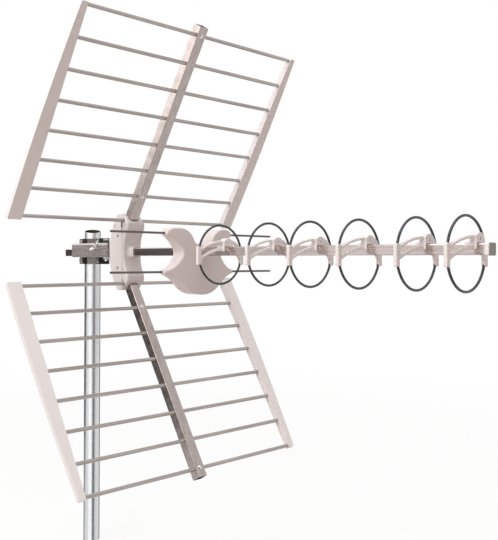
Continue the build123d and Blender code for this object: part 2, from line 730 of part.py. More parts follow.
# Matching board, which the dipole rods lie on inside their housing
with BuildPart() as board:
    with BuildSketch(across(BOARD_X)):
        add(case_outline(CASE_WALL + BOARD_GAP))
        Rectangle(2 * (CASE_HOLLOW - BOARD_GAP), 4 * CASE_BELLY, mode=Mode.INTERSECT)
        with Locations([(hand * y, z) for hand in (-1, 1) for y, z in CASE_SCREWS]):
            Circle(SCREW_BOSS_D / 2 + SEAT, mode=Mode.SUBTRACT)
        with Locations((0, -SOCKET_DROP)):
            Circle(SOCKET_PIN_D / 2 + SEAT, mode=Mode.SUBTRACT)
    extrude(amount=BOARD_T)
save(board.part, "balun_board")

# Aerial socket: threaded barrel, hexagon flange, neck through the shell and pin
SOCKET_FACE = DIPOLE_X - CASE_REAR
with BuildPart() as socket:
    with BuildSketch(across(SOCKET_FACE, 0, -SOCKET_DROP)):
        RegularPolygon(SOCKET_FLAT / 2, 6, major_radius=False)
    extrude(amount=-SOCKET_FLANGE)
    with BuildSketch(across(SOCKET_FACE - SOCKET_FLANGE, 0, -SOCKET_DROP)):
        Circle(SOCKET_D / 2)
    extrude(amount=-SOCKET_LENGTH)
    with BuildSketch(across(SOCKET_FACE, 0, -SOCKET_DROP)):
        Circle(SOCKET_NECK_D / 2)
    extrude(amount=BOARD_X - SOCKET_FACE)
    with BuildSketch(across(BOARD_X, 0, -SOCKET_DROP)):
        Circle(SOCKET_PIN_D / 2)
    extrude(amount=2 * BOARD_T)
    with BuildSketch(across(SOCKET_FACE - SOCKET_FLANGE - SOCKET_LENGTH, 0, -SOCKET_DROP)):
        Circle(SOCKET_BORE / 2)
    extrude(amount=SOCKET_LENGTH - SOCKET_FLANGE, mode=Mode.SUBTRACT)
save(socket.part, "coax_socket")


def dipole_rod(hand, z):
    """Half of a dipole: a thin tube from the board out through a tip of the housing."""
    with BuildPart() as tube:
        with BuildSketch(beside(DIPOLE_X, hand * DIPOLE_INNER, z)):
            Circle(DIPOLE_D / 2)
            Circle(DIPOLE_D / 2 - DIPOLE_WALL, mode=Mode.SUBTRACT)
        extrude(amount=DIPOLE_HALF - DIPOLE_INNER, dir=hand * AWAY)
    return tube.part


for level_name, level in (("upper", DIPOLE_UP), ("lower", -DIPOLE_DOWN)):
    for hand_name, rod_hand in (("near", -1), ("far", 1)):
        save(dipole_rod(rod_hand, level), f"dipole_rod_{level_name}_{hand_name}")

# Self-tapping screws of both housings, all alike: countersunk under the head
with BuildPart() as screws:
    for seat, drive in support_screws + case_screws + spine_screws:
        with BuildSketch(Plane(origin=seat, z_dir=drive)):
            Circle(SCREW_D / 2)
        extrude(amount=SCREW_LENGTH)
        with BuildSketch(Plane(origin=seat, z_dir=drive)):
            Circle(SCREW_HEAD_D / 2)
        extrude(amount=-SCREW_HEAD_H)
        with BuildSketch(Plane(origin=seat - drive * SCREW_HEAD_H, z_dir=drive)):
            Rectangle(SCREW_HEAD_D / 2, SCREW_HEAD_H / 3)
            Rectangle(SCREW_HEAD_H / 3, SCREW_HEAD_D / 2)
        extrude(amount=SCREW_HEAD_H / 2, mode=Mode.SUBTRACT)
save(screws.part, "housing_screws")


def director_ring(x, slip=0.0):
    """Wire ring square to the boom; slip thickens it to cut its own groove."""
    with BuildPart(across(x, 0, -RING_DROP)) as ring:
        Torus(RING_R, RING_D / 2 + slip)
    return ring.part


CLIP_HALF = BOOM_W / 2 + CLIP_SEAT + CLIP_WALL


def holder_arm(x, hand, heights, width, thickness):
    """Arched rib from the clip on the boom out to one of the ring's grips."""
    root = rig(x + CLIP_FRONT - CLIP_TAB, hand * (CLIP_HALF - CLIP_WALL / 2))
    tip = rig(x, hand * (GRIP_INNER + CLIP_WALL / 2))
    reach = (tip - root).length
    outward = (tip - root).normalized()
    middle = reach * (ARM_MIDDLE - CLIP_HALF) / (GRIP_INNER - CLIP_HALF)
    with BuildPart() as arm:
        with BuildSketch(Plane(origin=root, x_dir=outward, z_dir=outward.cross(-DOWN))):
            with BuildLine():
                ThreePointArc((0, heights[2]), (middle, heights[1]), (reach, heights[0]))
            trace(line_width=thickness)
        extrude(amount=width / 2, both=True)
    return arm.part


def ring_holder(x):
    """Moulded holder: a clip astride the boom, four arched arms and two grips."""
    top = BOOM_W / 2 + CLIP_SEAT
    with BuildPart() as holder:
        with BuildSketch(across(x + CLIP_BACK)):
            with Locations((0, (top + CLIP_WALL) / 2)):
                Rectangle(2 * CLIP_HALF, top + CLIP_WALL)
        extrude(amount=CLIP_FRONT - CLIP_BACK)
        with BuildSketch(across(x + HOOD_BACK)):
            with BuildLine():
                Polyline(
                    (-CLIP_HALF, HOOD_SHOULDER), (-CLIP_HALF, 0), (CLIP_HALF, 0), (CLIP_HALF, HOOD_SHOULDER)
                )
                ThreePointArc((CLIP_HALF, HOOD_SHOULDER), (0, HOOD_TOP), (-CLIP_HALF, HOOD_SHOULDER))
            make_face()
        extrude(amount=CLIP_FRONT - HOOD_BACK)
        with BuildSketch(across(x + HOOD_BACK)):
            with Locations((0, (top + CLIP_WALL + HOOD_SHOULDER) / 2)):
                Rectangle(2 * (CLIP_HALF - CLIP_WALL), HOOD_SHOULDER - top - CLIP_WALL)
        extrude(amount=CLIP_FRONT - HOOD_BACK - CLIP_WALL, mode=Mode.SUBTRACT)
        with BuildSketch(across(x + CLIP_BACK)):
            with Locations((0, HOOD_HOLE_Z)):
                Circle(HOOD_HOLE_D / 2)
        extrude(amount=CLIP_FRONT, mode=Mode.SUBTRACT)
        for hand in (1, -1):
            with BuildSketch(beside(x, hand * (CLIP_HALF - CLIP_WALL / 2))):
                with Locations((CLIP_FRONT - CLIP_TAB / 2, HOOD_SHOULDER / 2)):
                    Rectangle(CLIP_TAB, HOOD_SHOULDER)
                with Locations(((CLIP_BACK + CLIP_FRONT) / 2, CLIP_TAB_PROUD)):
                    Rectangle(CLIP_FRONT - CLIP_BACK, 2 * CLIP_TAB_PROUD)
            extrude(amount=CLIP_TAB_PROUD + CLIP_WALL / 2, dir=hand * AWAY)
            add(holder_arm(x, hand, UPPER_ARM_Z, UPPER_ARM_W, UPPER_ARM_T))
            add(holder_arm(x, hand, LOWER_ARM_Z, LOWER_ARM_W, LOWER_ARM_T))
        with BuildSketch(above(x, 0, GRIP_BOTTOM)):
            with GridLocations(1, GRIP_INNER + GRIP_OUTER, 1, 2):
                RectangleRounded(GRIP_LENGTH, GRIP_OUTER - GRIP_INNER, GRIP_LENGTH / 4)
        extrude(amount=GRIP_TOP - GRIP_BOTTOM)
        with BuildSketch(across(x)):
            Rectangle(2 * top, 2 * top)
        extrude(amount=2 * CLIP_FRONT, mode=Mode.SUBTRACT)
        with BuildSketch(above(x + PEG_X, 0, top + CLIP_WALL / 2)):
            Circle(PEG_D / 2)
        extrude(amount=PEG_LENGTH + CLIP_WALL / 2, dir=DOWN)
        add(director_ring(x, RING_SLIP), mode=Mode.SUBTRACT)
    return holder.part


for ring_index, ring_place in enumerate(RING_PLACES):
    save(director_ring(ring_place), f"ring_{ring_index + 1}")
    save(ring_holder(ring_place), f"ring_holder_{ring_index + 1}")

# Mast clamp. A folded cradle holds the tail of the boom against a folded saddle
# plate, and four bolts draw the saddle and the rear jaw together on the mast.
CRADLE_WALL_Y = -BOOM_W / 2 - CRADLE_FIT - PLATE_T / 2
WING_X = -CORNER_AHEAD + WING_AHEAD
with BuildPart() as cradle:
    with BuildSketch(across(-CORNER_AHEAD - CRADLE_BACK)):
        with BuildLine():
            FilletPolyline(
                (SADDLE_NEAR, CRADLE_TOP - PLATE_T / 2),
                (CRADLE_WALL_Y, CRADLE_TOP - PLATE_T / 2),
                (CRADLE_WALL_Y, -BOOM_W / 2 - PLATE_T / 2),
                (SADDLE_NEAR, -BOOM_W / 2 - PLATE_T / 2),
                radius=BEND_R,
            )
        trace(line_width=PLATE_T)
    extrude(amount=CRADLE_BACK + CRADLE_FRONT)
    with BuildSketch(across(-CORNER_AHEAD + CRADLE_RIB_AHEAD)):
        with Locations([(CRADLE_WALL_Y - PLATE_T / 2, z) for z in CRADLE_RIBS]):
            Circle(CRADLE_RIB_D / 2)
    extrude(amount=CRADLE_RIB_LENGTH)
    with BuildSketch(beside(0, 0, 0)):
        with Locations((WING_X, WING_Z)):
            Circle(BOLT_HOLE_D / 2)
        with Locations((-CORNER_AHEAD + SLIT_AHEAD, SLIT_RISE)):
            SlotOverall(SLIT_LENGTH, SLIT_WIDTH, rotation=90)
    extrude(amount=BOOM_W, mode=Mode.SUBTRACT)
    with BuildSketch(above(LOCK_X)):
        Circle(BOLT_HOLE_D / 2)
    extrude(amount=2 * BOOM_W, both=True, mode=Mode.SUBTRACT)
save(cradle.part, "clamp_cradle")


def folded_plate(corners, bottom, height, holes):
    """Plate folded along a line of corners seen from above, with bolt holes."""
    with BuildPart() as plate:
        with BuildSketch(above(-CORNER_AHEAD, 0, bottom)):
            with BuildLine():
                FilletPolyline(*corners, radius=BEND_R)
            trace(line_width=PLATE_T)
        extrude(amount=height)
        with BuildSketch(beside(-CORNER_AHEAD)):
            with Locations(holes):
                Circle(BOLT_HOLE_D / 2)
        extrude(amount=4 * MAST_SIDE, both=True, mode=Mode.SUBTRACT)
    return plate.part


SHOULDER = JAW_FLAT / 2 + JAW_RISE
bolt_places = [
    (i * BOLT_SPREAD_X, SADDLE_CENTRE + j * BOLT_SPREAD_Z) for i in (-1, 1) for j in (-1, 1)
]
saddle = folded_plate(
    [
        (-EAR_END, EAR_Y),
        (-SHOULDER, EAR_Y),
        (-JAW_FLAT / 2, SADDLE_Y),
        (JAW_FLAT / 2, SADDLE_Y),
        (SHOULDER, EAR_Y),
        (SADDLE_EAR_END, EAR_Y),
        (SADDLE_EAR_END + JAW_RISE, SADDLE_Y),
        (SADDLE_END, SADDLE_Y),
    ],
    SADDLE_CENTRE - SADDLE_HEIGHT / 2,
    SADDLE_HEIGHT,
    bolt_places + [(WING_AHEAD, WING_Z)],
)
save(saddle, "saddle_plate")

REAR_EAR_Y = 2 * MAST_SIDE - EAR_Y
REAR_FLAT_Y = 2 * MAST_SIDE - SADDLE_Y
rear_jaw = folded_plate(
    [
        (-EAR_END, REAR_EAR_Y),
        (-SHOULDER, REAR_EAR_Y),
        (-JAW_FLAT / 2, REAR_FLAT_Y),
        (JAW_FLAT / 2, REAR_FLAT_Y),
        (SHOULDER, REAR_EAR_Y),
        (EAR_END, REAR_EAR_Y),
    ],
    SADDLE_CENTRE - JAW_HEIGHT / 2,
    JAW_HEIGHT,
    bolt_places,
)
save(rear_jaw, "rear_jaw")


def hex_bolt(seat, drive, length):
    """Hexagon bolt whose head bears on seat and whose shank runs along drive."""
    with BuildPart() as bolt:
        with BuildSketch(Plane(origin=seat, z_dir=drive)):
            RegularPolygon(BOLT_AF / 2, 6, major_radius=False)
        extrude(amount=-BOLT_HEAD_H)
        with BuildSketch(Plane(origin=seat, z_dir=drive)):
            Circle(BOLT_D / 2)
        extrude(amount=length)
        chamfer(bolt.faces().sort_by(Axis(seat, drive))[-1].edges(), length=BOLT_D / 10)
    return bolt.part


def flange_nut(seat, away):
    """Hexagon nut on a round flange that bears on seat."""
    with BuildPart() as nut:
        with BuildSketch(Plane(origin=seat, z_dir=away)):
            Circle(NUT_FLANGE_D / 2)
        extrude(amount=NUT_FLANGE_H)
        with BuildSketch(Plane(origin=seat, z_dir=away)):
            RegularPolygon(BOLT_AF / 2, 6, major_radius=False)
        extrude(amount=NUT_H)
        with BuildSketch(Plane(origin=seat, z_dir=away)):
            Circle(BOLT_D / 2 + THREAD_GAP)
        extrude(amount=NUT_H, mode=Mode.SUBTRACT)
    return nut.part


NUT_SEAT_Y = REAR_EAR_Y + PLATE_T / 2
BOLT_SEAT_Y = EAR_Y - PLATE_T / 2
bolt_length = NUT_SEAT_Y - BOLT_SEAT_Y + NUT_H + BOLT_PAST_NUT
with BuildPart() as clamp_bolts:
    for bolt_x, bolt_z in bolt_places:
        add(hex_bolt(rig(bolt_x - CORNER_AHEAD, BOLT_SEAT_Y, bolt_z), AWAY, bolt_length))
save(clamp_bolts.part, "clamp_bolts")

CRADLE_FLOOR = -BOOM_W / 2 - PLATE_T
with BuildPart() as clamp_nuts:
    for bolt_x, bolt_z in bolt_places:
        add(flange_nut(rig(bolt_x - CORNER_AHEAD, NUT_SEAT_Y, bolt_z), AWAY))
    add(flange_nut(rig(LOCK_X, 0, CRADLE_FLOOR), DOWN))
save(clamp_nuts.part, "clamp_nuts")

# Lock bolt down through the cradle and the boom, and its two round spacers
LOCK_SEAT = CRADLE_TOP + SPACER_H
lock_bolt = hex_bolt(
    rig(LOCK_X, 0, LOCK_SEAT), DOWN, LOCK_SEAT - CRADLE_FLOOR + NUT_H + BOLT_PAST_NUT
)
save(lock_bolt, "lock_bolt")
with BuildPart() as spacers:
    for bottom, top in ((CRADLE_TOP, LOCK_SEAT), (BOOM_W / 2, CRADLE_TOP - PLATE_T)):
        with BuildSketch(above(LOCK_X, 0, bottom)):
            Circle(SPACER_D / 2)
            Circle(BOLT_HOLE_D / 2, mode=Mode.SUBTRACT)
        extrude(amount=top - bottom)
save(spacers.part, "lock_spacers")

# Wing bolt across the cradle above the boom, domed on the saddle's far side
WING_SEAT_Y = SADDLE_Y + PLATE_T / 2
WING_NUT_Y = CRADLE_WALL_Y - PLATE_T / 2
with BuildPart() as wing_bolt:
    with BuildSketch(Plane(origin=rig(WING_X, WING_SEAT_Y, WING_Z), z_dir=AWAY)):
        Circle(WING_BOLT_HEAD_D / 2)
    extrude(amount=WING_BOLT_HEAD_H)
    fillet(wing_bolt.faces().sort_by(Axis.Y)[-1].edges(), radius=0.9 * WING_BOLT_HEAD_H)
    with BuildSketch(Plane(origin=rig(WING_X, WING_SEAT_Y, WING_Z), z_dir=-AWAY)):
        Circle(BOLT_D / 2)
    extrude(amount=WING_SEAT_Y - WING_NUT_Y + WING_BODY_H + BOLT_PAST_NUT)
save(wing_bolt.part, "wing_bolt")

# Wing nut: tapered body with two raised wings
with BuildPart() as wing_nut:
    nut_seat = rig(WING_X, WING_NUT_Y, WING_Z)
    with BuildSketch(Plane(origin=nut_seat, z_dir=-AWAY)):
        Circle(WING_BODY_D / 2)
    extrude(amount=WING_BODY_H, taper=WING_TAPER)
    wing_way = Vector(cos(radians(WING_TURN)), 0, sin(radians(WING_TURN)))
    with BuildSketch(Plane(origin=nut_seat, x_dir=wing_way, z_dir=wing_way.cross(-AWAY))):
        with BuildLine():
            Polyline(
                (WING_BODY_D / 4, WING_BODY_H / 4),
                (WING_BODY_D / 2, WING_BODY_H / 4),
                (WING_SPAN / 2, WING_BODY_H),
                (WING_SPAN / 2, WING_TIP_H),
                (WING_SPAN / 3, WING_TIP_H),
                (WING_BODY_D / 4, WING_BODY_H * 3 / 4),
                close=True,
            )
        wing = make_face()
        fillet(wing.vertices(), radius=WING_CORNER)
        mirror(about=Plane.YZ)
    extrude(amount=WING_T / 2, both=True)
    with BuildSketch(Plane(origin=nut_seat, z_dir=-AWAY)):
        Circle(BOLT_D / 2 + THREAD_GAP)
    extrude(amount=2 * WING_BODY_H, mode=Mode.SUBTRACT)
save(wing_nut.part, "wing_nut")
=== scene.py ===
from math import atan2, cos, radians, sin, sqrt, tau

import bmesh
import bpy
from mathutils import Matrix, Vector


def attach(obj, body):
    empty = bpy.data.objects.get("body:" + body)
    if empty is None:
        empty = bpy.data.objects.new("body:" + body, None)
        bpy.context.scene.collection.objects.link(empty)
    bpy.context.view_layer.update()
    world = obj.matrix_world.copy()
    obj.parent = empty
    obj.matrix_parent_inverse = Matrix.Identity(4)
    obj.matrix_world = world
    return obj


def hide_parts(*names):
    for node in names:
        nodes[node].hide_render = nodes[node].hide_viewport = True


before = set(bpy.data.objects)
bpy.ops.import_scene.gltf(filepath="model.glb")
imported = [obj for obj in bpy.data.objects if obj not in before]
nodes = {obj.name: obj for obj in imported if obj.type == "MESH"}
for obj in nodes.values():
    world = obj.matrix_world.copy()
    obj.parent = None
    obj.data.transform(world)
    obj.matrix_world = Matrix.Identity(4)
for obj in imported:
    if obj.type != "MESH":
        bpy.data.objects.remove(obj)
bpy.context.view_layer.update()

# The studio. A pale floor under the mast's foot runs out to a white cove. One wide soft
# lamp hangs overhead and one stands left of the camera, with a warm fill from the cove.
# Black, silver and glowing cards stand out of view, for the bare metal to mirror.
PALE = (0.94, 0.94, 0.94, 1.0)
WHITE = (1.0, 1.0, 1.0, 1.0)
FLOOR_SIZE = 14.0
FLOOR_SHARE_OF_SHADE = 0.14
FLOOR_FADES_AT = 3.2
FILL_LIGHT = (0.52, 0.465, 0.445, 1.0)
FLOOR_BOUNCE = (0.60, 0.535, 0.51, 1.0)
SUBJECT = Vector((0.42, -0.03, 0.60))

# Each lamp's place from the subject and its width, in metres, and its power in watts.
LAMPS = {
    "lamp_over": (Vector((0.2, -0.3, 2.4)), 2.4, 38.0),
    "lamp_left": (Vector((-0.3, -2.3, 1.2)), 1.8, 36.0),
}

# Each card's place seen from above, its width, and the heights of its two level edges.
BEHIND_LEFT = Vector((-2.305, -1.035, 0.0))
BLACK_CARDS = {
    "card_behind_left": (BEHIND_LEFT, 2.75, -0.45, 0.88),
    "card_low_behind": (Vector((-2.3, -0.5, 0.0)), 1.1, -1.6, -0.45),
    "card_beside_camera": (Vector((2.16, -0.42, 0.0)), 1.2, -1.6, 1.4),
    "card_behind_right": (Vector((-0.85, 2.35, 0.0)), 1.6, -1.6, 1.4),
}
SILVER_CARDS = {
    "silver_left": (Vector((0.72, -2.2, 0.0)), 0.55, -1.6, 1.4),
    "silver_by_camera": (Vector((1.29, -1.53, 0.0)), 0.7, -1.6, 1.6),
    "silver_behind_left": (BEHIND_LEFT, 2.75, 1.02, 1.42),
}
LAMP_CARDS = {
    "glow_behind_left": (BEHIND_LEFT, 2.75, 1.42, 2.6),
}
SILVER_GLOW = 1.7
LAMP_GLOW = 2.5
CARD_BLACK = (0.02, 0.02, 0.02, 1.0)
CARD_ROUGHNESS = 0.9


def rays_that_look(tree):
    """An output that is 1 for camera, glossy and transmission rays, and 0 for others."""
    path = tree.nodes.new("ShaderNodeLightPath")
    looked = path.outputs["Is Camera Ray"]
    for kind in ("Is Glossy Ray", "Is Transmission Ray"):
        either = tree.nodes.new("ShaderNodeMath")
        either.operation = "MAXIMUM"
        tree.links.new(looked, either.inputs[0])
        tree.links.new(path.outputs[kind], either.inputs[1])
        looked = either.outputs[0]
    return looked


def pale_floor():
    """White to look at, with a faint shade near the mast, and warm in the light it throws."""
    material = bpy.data.materials.new("studio_floor")
    material.use_nodes = True
    tree = material.node_tree
    tree.nodes.clear()
    output = tree.nodes.new("ShaderNodeOutputMaterial")
    shaded = tree.nodes.new("ShaderNodeBsdfDiffuse")
    shaded.inputs["Color"].default_value = PALE
    glow = tree.nodes.new("ShaderNodeEmission")
    place = tree.nodes.new("ShaderNodeTexCoord")
    away = tree.nodes.new("ShaderNodeVectorMath")
    away.operation = "LENGTH"
    tree.links.new(place.outputs["Object"], away.inputs[0])
    fade = tree.nodes.new("ShaderNodeMapRange")
    fade.interpolation_type = "SMOOTHSTEP"
    fade.inputs["From Max"].default_value = FLOOR_FADES_AT
    fade.inputs["To Min"].default_value = FLOOR_SHARE_OF_SHADE
    fade.inputs["To Max"].default_value = 0.0
    tree.links.new(away.outputs["Value"], fade.inputs["Value"])
    seen = tree.nodes.new("ShaderNodeMixShader")
    tree.links.new(fade.outputs["Result"], seen.inputs["Fac"])
    tree.links.new(glow.outputs[0], seen.inputs[1])
    tree.links.new(shaded.outputs[0], seen.inputs[2])
    bounce = tree.nodes.new("ShaderNodeBsdfDiffuse")
    bounce.inputs["Color"].default_value = FLOOR_BOUNCE
    choice = tree.nodes.new("ShaderNodeMixShader")
    tree.links.new(rays_that_look(tree), choice.inputs["Fac"])
    tree.links.new(bounce.outputs[0], choice.inputs[1])
    tree.links.new(seen.outputs[0], choice.inputs[2])
    tree.links.new(choice.outputs[0], output.inputs["Surface"])
    return material


def flat_board(name, width, height, material):
    """A flat board of the studio, level, with its middle at the origin."""
    mesh = bpy.data.meshes.new(name)
    corners = [(-width / 2, -height / 2, 0), (width / 2, -height / 2, 0)]
    corners += [(width / 2, height / 2, 0), (-width / 2, height / 2, 0)]
    mesh.from_pydata(corners, [], [(0, 1, 2, 3)])
    mesh.materials.append(material)
    board = bpy.data.objects.new(name, mesh)
    bpy.context.scene.collection.objects.link(board)
    return board


floor = flat_board("studio_floor", FLOOR_SIZE, FLOOR_SIZE, pale_floor())
floor.visible_glossy = False

world = bpy.data.worlds.new("studio")
bpy.context.scene.world = world
world.use_nodes = True
sky = world.node_tree
background = sky.nodes["Background"]
lit_by = sky.nodes.new("ShaderNodeMix")
lit_by.data_type = "RGBA"
lit_by.inputs["A"].default_value = FILL_LIGHT
lit_by.inputs["B"].default_value = WHITE
sky.links.new(rays_that_look(sky), lit_by.inputs["Factor"])
sky.links.new(lit_by.outputs["Result"], background.inputs["Color"])

for name, (place, width, power) in LAMPS.items():
    lamp = bpy.data.lights.new(name, "AREA")
    lamp.shape = "SQUARE"
    lamp.size = width
    lamp.energy = power
    holder = bpy.data.objects.new(name, lamp)
    holder.location = SUBJECT + place
    holder.rotation_euler = (-place).to_track_quat("-Z", "Y").to_euler()
    bpy.context.scene.collection.objects.link(holder)


def card_glow(name, strength):
    """The face of a card, which shows in the metal at that strength."""
    material = bpy.data.materials.new(name)
    material.use_nodes = True
    shader = material.node_tree.nodes["Principled BSDF"]
    shader.inputs["Base Color"].default_value = CARD_BLACK
    shader.inputs["Roughness"].default_value = CARD_ROUGHNESS
    shader.inputs["Emission Color"].default_value = WHITE
    shader.inputs["Emission Strength"].default_value = strength
    return material


black = card_glow("black_card", 0.0)
silver = card_glow("silver_card", SILVER_GLOW)
lamp_face = card_glow("lamp_card", LAMP_GLOW)
boards = [(name, *board, black) for name, board in BLACK_CARDS.items()]
boards += [(name, *board, silver) for name, board in SILVER_CARDS.items()]
boards += [(name, *board, lamp_face) for name, board in LAMP_CARDS.items()]
for name, place, width, low, high, finish in boards:
    card = flat_board(name, width, high - low, finish)
    card.location = place + Vector((0, 0, (low + high) / 2))
    towards = Vector((SUBJECT.x - place.x, SUBJECT.y - place.y, 0))
    card.rotation_euler = towards.to_track_quat("Z", "Y").to_euler()
    card.visible_camera = False
    card.visible_diffuse = False
    card.visible_shadow = False

# The camera, where the photograph was taken from: beside the front of the boom, a little
# under its height, looking back along it at 46 degrees. Its axis meets the photograph at
# AXIS_ROW_PX, and colours show as they are written.
EYE = Vector((1.4506, -1.0080, 0.6163))
YAW = radians(46.11)
RISE = radians(0.543)
ROLL = radians(0.154)
PHOTO_WIDTH = 498.0
PHOTO_HEIGHT = 540.0
FOCAL_PX = 781.5
AXIS_ROW_PX = 252.7
SENSOR_MM = 36.0

ahead = Vector((-cos(YAW) * cos(RISE), sin(YAW) * cos(RISE), sin(RISE)))
right = ahead.cross(Vector((0, 0, 1))).normalized()
up = right.cross(ahead)
rolled_right = cos(ROLL) * right + sin(ROLL) * up
rolled_up = cos(ROLL) * up - sin(ROLL) * right
lens = bpy.data.cameras.new("photo_camera")
lens.sensor_fit = "HORIZONTAL"
lens.sensor_width = SENSOR_MM
lens.lens = SENSOR_MM * FOCAL_PX / PHOTO_WIDTH
lens.shift_y = (AXIS_ROW_PX - PHOTO_HEIGHT / 2) / PHOTO_WIDTH
camera = bpy.data.objects.new("photo_camera", lens)
camera.matrix_world = Matrix.Translation(EYE) @ Matrix(
    (rolled_right, rolled_up, -ahead)
).transposed().to_4x4()
bpy.context.scene.collection.objects.link(camera)
bpy.context.scene.camera = camera
bpy.context.scene.view_settings.view_transform = "Standard"

# The mast, a length of 35 mm steel tube, galvanised outside. The zinc froze in small
# flowery patches, the drawn tube under it shows as faint lines, and the bore has rusted.
ZINC_BRIGHT = (0.68, 0.69, 0.70, 1)
ZINC_DULL = (0.63, 0.64, 0.655, 1)
RUSTY_BORE = (0.060, 0.050, 0.030, 1)
BORE_EDGE = 0.0166
SPANGLE_PER_METRE = 160.0
MAST_LINES_PER_METRE = (220, 220, 5)
MAST_LINE_DEPTH = 0.00001
MAST_ROUGHNESS = (0.30, 0.33)


def start_material(name):
    """A new material with its tree and its shader."""
    material = bpy.data.materials.new(name)
    material.use_nodes = True
    return material, material.node_tree, material.node_tree.nodes["Principled BSDF"]


def start_group(name, inputs, outputs):
    """A shader group with its named sockets, its way in and its way out."""
    group = bpy.data.node_groups.new(name, "ShaderNodeTree")
    for socket, kind, value in inputs:
        group.interface.new_socket(socket, in_out="INPUT", socket_type=kind).default_value = value
    for socket, kind in outputs:
        group.interface.new_socket(socket, in_out="OUTPUT", socket_type=kind)
    return group, group.nodes.new("NodeGroupInput"), group.nodes.new("NodeGroupOutput")


def place_group(tree, group, **values):
    """The group as a node of this tree, with its inputs set by name."""
    node = tree.nodes.new("ShaderNodeGroup")
    node.node_tree = group
    for socket, value in values.items():
        node.inputs[socket].default_value = value
    return node


def remap(tree, value, low, high):
    """value, from 0 to 1, turned into a number from low to high."""
    node = tree.nodes.new("ShaderNodeMapRange")
    node.inputs["To Min"].default_value = low
    node.inputs["To Max"].default_value = high
    tree.links.new(value, node.inputs["Value"])
    return node.outputs["Result"]


def emboss(tree, shader, height, depth):
    """Turns a height into a bump of that depth in metres."""
    bump = tree.nodes.new("ShaderNodeBump")
    bump.inputs["Distance"].default_value = depth
    tree.links.new(height, bump.inputs["Height"])
    tree.links.new(bump.outputs["Normal"], shader.inputs["Normal"])


def coat_node(name, material):
    """Gives a solid of the frame its material."""
    for slot in nodes[name].material_slots:
        slot.material = material


FLOAT = "NodeSocketFloat"
VECTOR = "NodeSocketVector"
COLOUR = "NodeSocketColor"

# Lines left by a die or a roller: noise drawn out long in one direction.
drawn_lines, way_in, way_out = start_group(
    "drawn_lines", [("Stretch", VECTOR, (1, 1, 1)), ("Detail", FLOAT, 4.0)], [("Lines", FLOAT)]
)
spot = drawn_lines.nodes.new("ShaderNodeTexCoord")
stretched = drawn_lines.nodes.new("ShaderNodeVectorMath")
stretched.operation = "MULTIPLY"
lines = drawn_lines.nodes.new("ShaderNodeTexNoise")
lines.inputs["Scale"].default_value = 1.0
drawn_lines.links.new(spot.outputs["Object"], stretched.inputs[0])
drawn_lines.links.new(way_in.outputs["Stretch"], stretched.inputs[1])
drawn_lines.links.new(way_in.outputs["Detail"], lines.inputs["Detail"])
drawn_lines.links.new(stretched.outputs[0], lines.inputs["Vector"])
drawn_lines.links.new(lines.outputs["Fac"], way_out.inputs["Lines"])

# Tone that drifts over a surface between two colours, as weather and moulding leave it.
tone_drift, way_in, way_out = start_group(
    "tone_drift",
    [
        ("Colour", COLOUR, PALE),
        ("Other", COLOUR, PALE),
        ("Scale", FLOAT, 6.0),
        ("Bite", FLOAT, 0.5),
    ],
    [("Colour", COLOUR), ("Mask", FLOAT)],
)
spot = tone_drift.nodes.new("ShaderNodeTexCoord")
cloud = tone_drift.nodes.new("ShaderNodeTexNoise")
cloud.inputs["Detail"].default_value = 5.0
cloud.inputs["Roughness"].default_value = 0.6
weight = tone_drift.nodes.new("ShaderNodeMath")
weight.operation = "MULTIPLY"
blend = tone_drift.nodes.new("ShaderNodeMix")
blend.data_type = "RGBA"
tone_drift.links.new(spot.outputs["Object"], cloud.inputs["Vector"])
tone_drift.links.new(way_in.outputs["Scale"], cloud.inputs["Scale"])
tone_drift.links.new(cloud.outputs["Fac"], weight.inputs[0])
tone_drift.links.new(way_in.outputs["Bite"], weight.inputs[1])
tone_drift.links.new(weight.outputs[0], blend.inputs["Factor"])
tone_drift.links.new(way_in.outputs["Colour"], blend.inputs["A"])
tone_drift.links.new(way_in.outputs["Other"], blend.inputs["B"])
tone_drift.links.new(blend.outputs["Result"], way_out.inputs["Colour"])
tone_drift.links.new(cloud.outputs["Fac"], way_out.inputs["Mask"])


